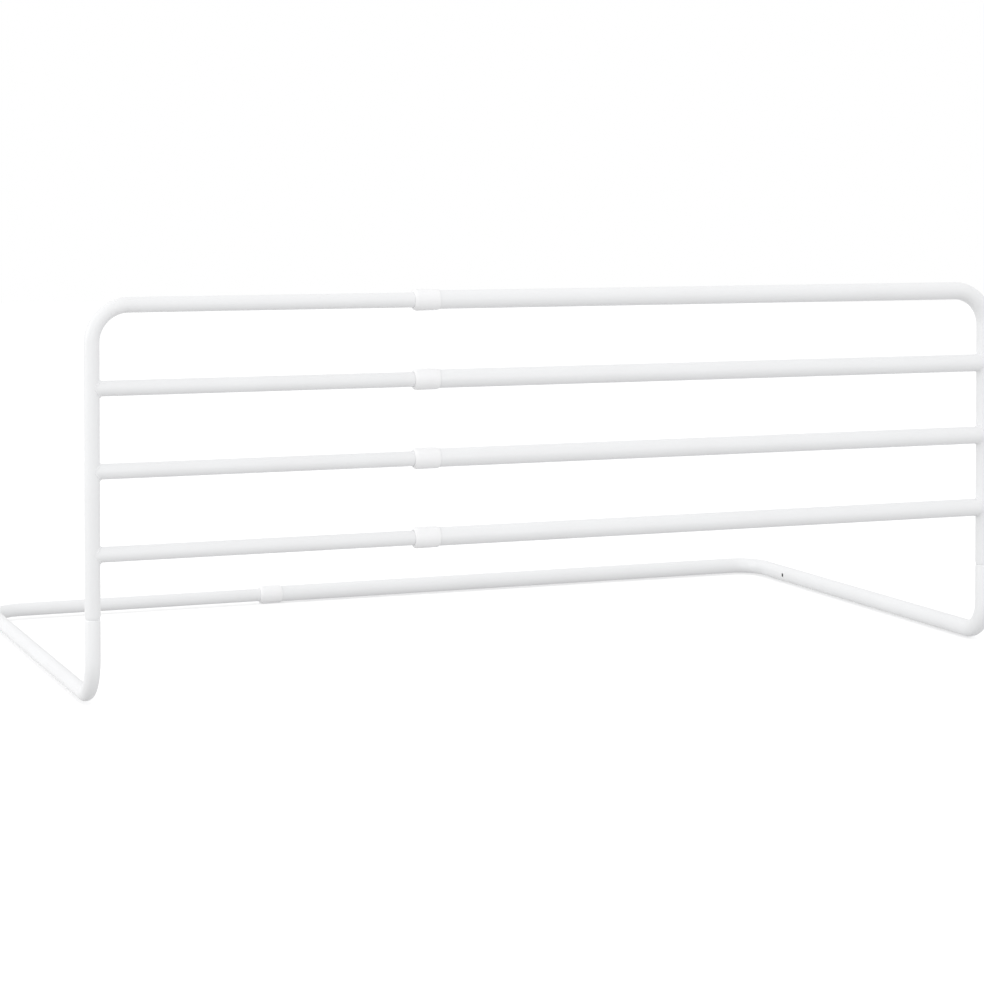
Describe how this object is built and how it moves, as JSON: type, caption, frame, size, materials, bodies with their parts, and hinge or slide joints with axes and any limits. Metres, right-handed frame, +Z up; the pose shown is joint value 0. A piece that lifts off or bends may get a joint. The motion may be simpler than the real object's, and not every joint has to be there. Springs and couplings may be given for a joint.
{
  "type": "telescopic bed guard rail",
  "caption": "Bed guard of white steel tube: posts with horizontal rails on L-shaped legs joined at the rear; two halves telescope in plastic collars.",
  "frame": {"origin": "middle of the guard's box at the pictured width, at the height of its lowest face, the underside of the rear collar", "axes": "+X along the bed from the thin half to the thick half, +Y from the rails in under the mattress, +Z up"},
  "size_m": [1.068, 0.598, 0.422],
  "materials": {
    "white_powder_coat": "satin",
    "white_plastic": "satin",
    "glide_plastic": "matte",
    "zinc_steel": "satin"
  },
  "bodies": {
    "right_half": {"right_frame_tube": "white_powder_coat", "right_upper_rail": "white_powder_coat", "right_middle_rail": "white_powder_coat", "right_lower_rail": "white_powder_coat", "right_leg_tube": "white_powder_coat", "right_leg_plug": "zinc_steel", "top_collar": "white_plastic", "upper_collar": "white_plastic", "middle_collar": "white_plastic", "lower_collar": "white_plastic", "rear_collar": "white_plastic"},
    "left_half": {"left_frame_tube": "white_powder_coat", "left_upper_rail": "white_powder_coat", "left_middle_rail": "white_powder_coat", "left_lower_rail": "white_powder_coat", "left_leg_tube": "white_powder_coat", "left_leg_plug": "zinc_steel", "top_glide": "glide_plastic", "upper_glide": "glide_plastic", "middle_glide": "glide_plastic", "lower_glide": "glide_plastic", "rear_glide": "glide_plastic"}
  },
  "joints": [
    {"name": "width_slide", "type": "slide", "parent": "right_half", "child": "left_half", "axis": [-1, 0, 0], "range_m": [-0.3, 0.3]}
  ]
}
